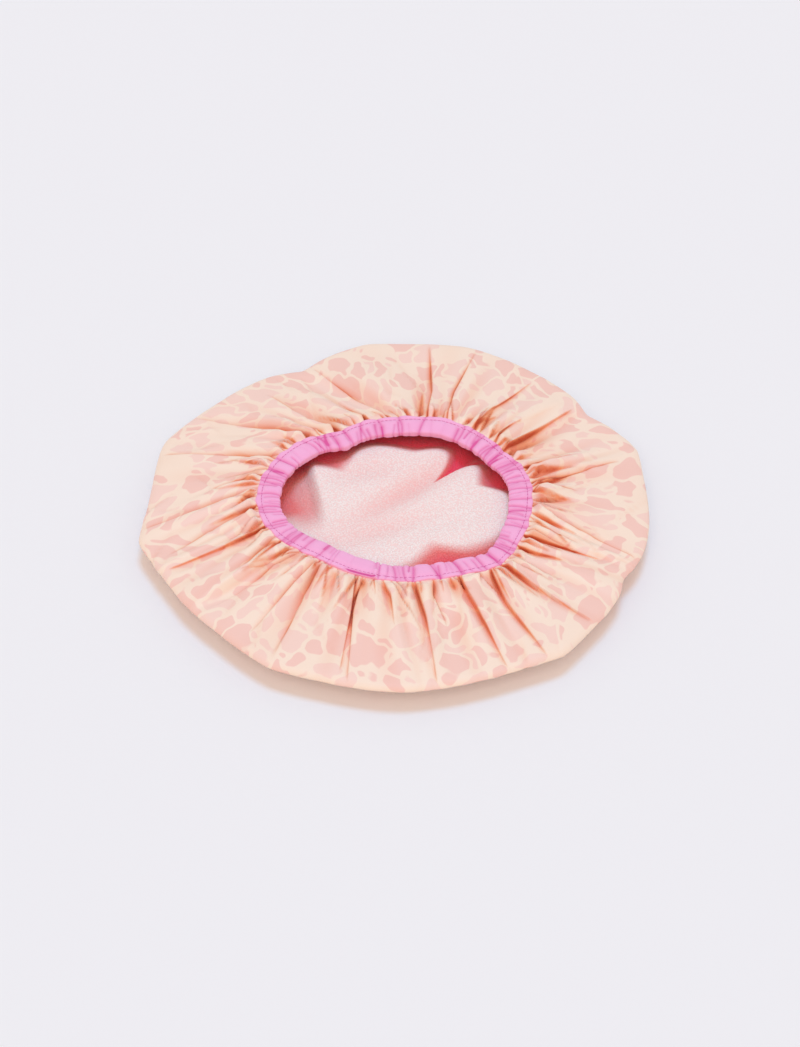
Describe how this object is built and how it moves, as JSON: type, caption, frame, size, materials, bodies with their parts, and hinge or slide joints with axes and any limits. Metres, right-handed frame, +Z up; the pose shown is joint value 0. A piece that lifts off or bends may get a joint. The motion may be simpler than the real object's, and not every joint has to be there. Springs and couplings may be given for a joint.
{
  "type": "shower cap",
  "caption": "Round gathered shower cap lying crown down: printed woven shell, terry lining and a ruched pink binding over an elastic at the oval mouth.",
  "frame": {"origin": "ground under the middle of the cap's outline", "axes": "+Z up out of the mouth, -Y to the front as pictured, +X to the right"},
  "size_m": [0.2976, 0.3002, 0.0294],
  "materials": {
    "printed_shell": "smooth coated plain weave with a spotted print",
    "terry": "short looped pile",
    "pink_tape": "matt woven tape",
    "elastic": "braided flat elastic",
    "white_thread": "spun sewing thread",
    "pink_thread": "spun sewing thread"
  },
  "bodies": {
    "crown": {"outer_shell": "printed_shell", "terry_lining": "terry"},
    "rim": {"binding_tape": "pink_tape", "elastic_band": "elastic", "elastic_join_stitch": "white_thread", "binding_top_thread": "pink_thread", "binding_bobbin_thread": "pink_thread"}
  },
  "joints": [
    {"name": "rim_lift", "type": "slide", "parent": "crown", "child": "rim", "axis": [0, 0, 1], "range_m": [0, 0.027], "deforming": ["outer_shell", "terry_lining"]}
  ]
}
